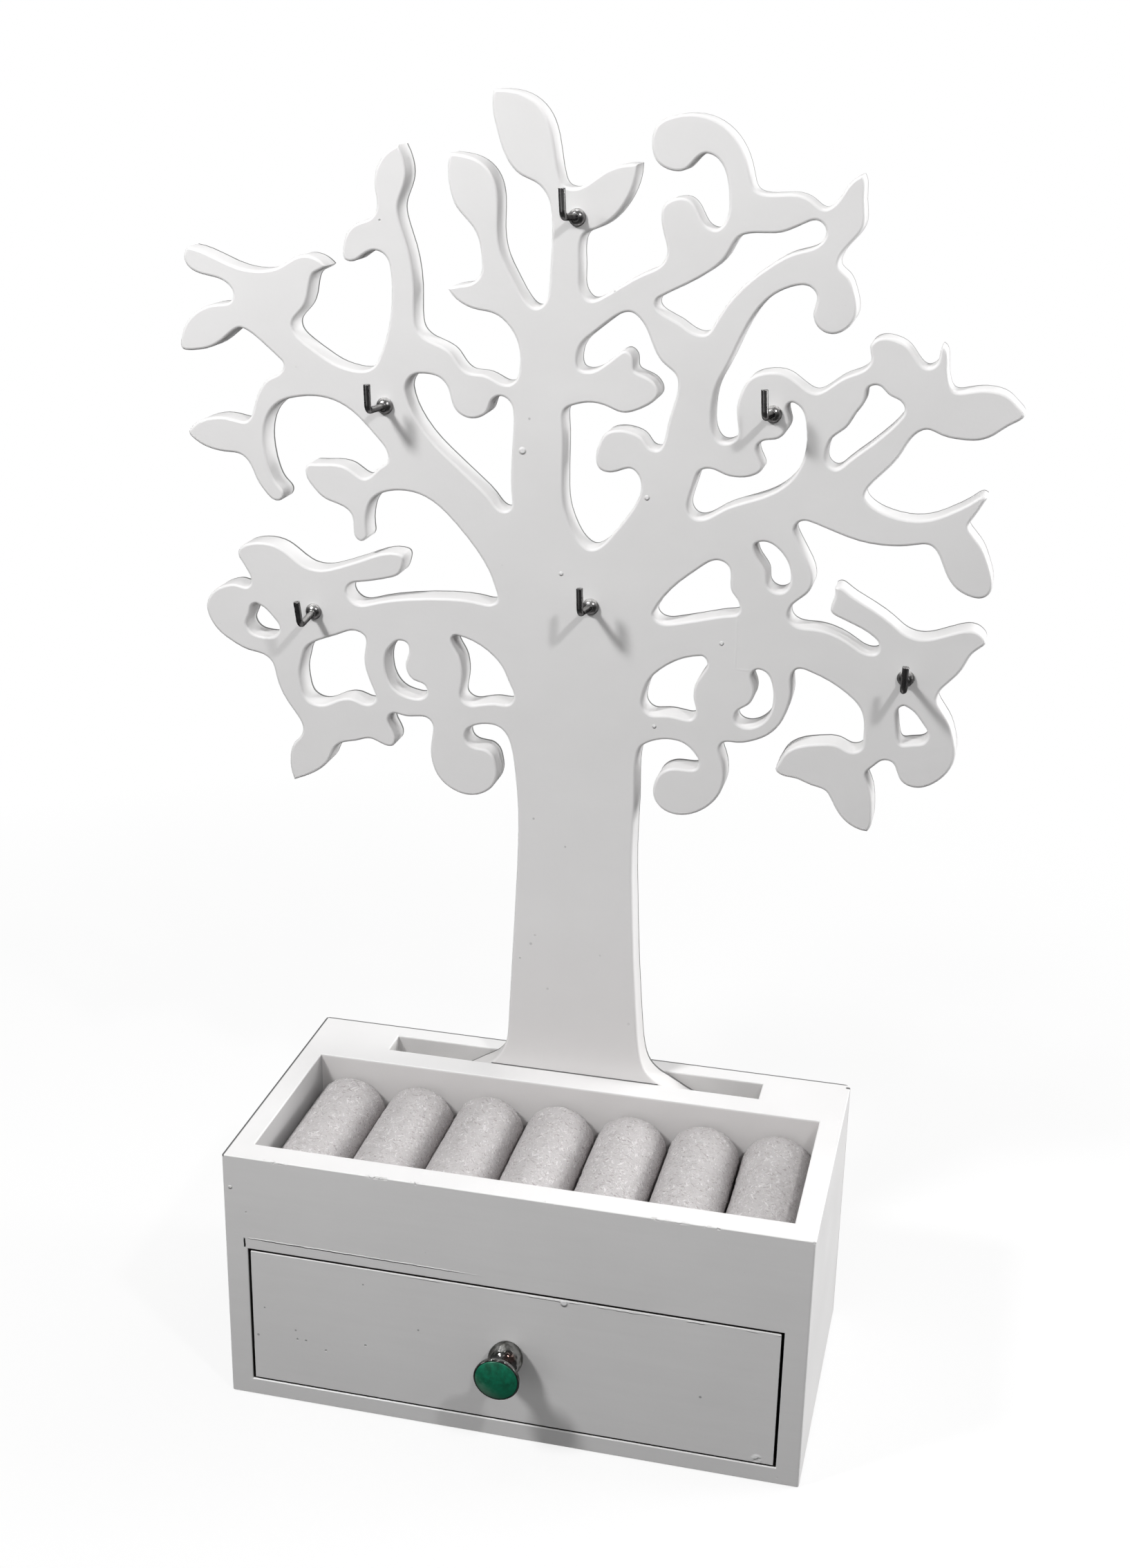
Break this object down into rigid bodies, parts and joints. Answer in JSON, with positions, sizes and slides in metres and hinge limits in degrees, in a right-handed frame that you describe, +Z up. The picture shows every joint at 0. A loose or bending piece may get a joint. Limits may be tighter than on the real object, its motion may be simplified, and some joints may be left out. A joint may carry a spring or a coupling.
{
  "type": "jewelry stand with drawer",
  "caption": "White painted box with a felt ring tray on top and a knobbed drawer below; a flat cut-out tree with wire hooks stands in a slot at its back.",
  "frame": {"origin": "centre of the box's underside, at table height", "axes": "+Z up; front of the drawer faces -Y; +X is to the right as seen from the front"},
  "size_m": [0.2767, 0.1212, 0.4328],
  "materials": {
    "painted_case": "satin white paint over fibreboard",
    "painted_tree": "satin white paint over fibreboard",
    "painted_drawer": "satin white paint over fibreboard",
    "drawer_board": "painted thin board",
    "felt": "soft warm grey velvet felt",
    "hook_steel": "dark bright steel wire",
    "screw_steel": "zinc-plated screw",
    "chrome_knob": "polished",
    "green_enamel": "glossy mottled deep green face"
  },
  "bodies": {
    "case": {"side_panel_left": "painted_case", "side_panel_right": "painted_case", "bottom_panel": "painted_case", "divider_panel": "painted_case", "front_rail": "painted_case", "tray_back_wall": "painted_case", "slot_block_left": "painted_case", "slot_block_right": "painted_case", "back_panel": "painted_case", "ring_roll_1": "felt", "ring_roll_2": "felt", "ring_roll_3": "felt", "ring_roll_4": "felt", "ring_roll_5": "felt", "ring_roll_6": "felt", "ring_roll_7": "felt"},
    "drawer": {"drawer_front": "painted_drawer", "drawer_side_left": "painted_drawer", "drawer_side_right": "painted_drawer", "drawer_back": "painted_drawer", "drawer_bottom": "drawer_board", "drawer_liner": "felt", "knob_body": "chrome_knob", "knob_face": "green_enamel", "knob_screw": "screw_steel"},
    "tree": {"tree_panel": "painted_tree", "hook_top": "hook_steel", "hook_upper_left": "hook_steel", "hook_upper_right": "hook_steel", "hook_centre": "hook_steel", "hook_lower_left": "hook_steel", "hook_lower_right": "hook_steel"}
  },
  "joints": [
    {"name": "drawer_slide", "type": "slide", "parent": "case", "child": "drawer", "axis": [0, -1, 0], "range_m": [0, 0.075]},
    {"name": "tree_lift", "type": "slide", "parent": "case", "child": "tree", "axis": [0, 0, 1], "range_m": [0, 0.04]}
  ]
}
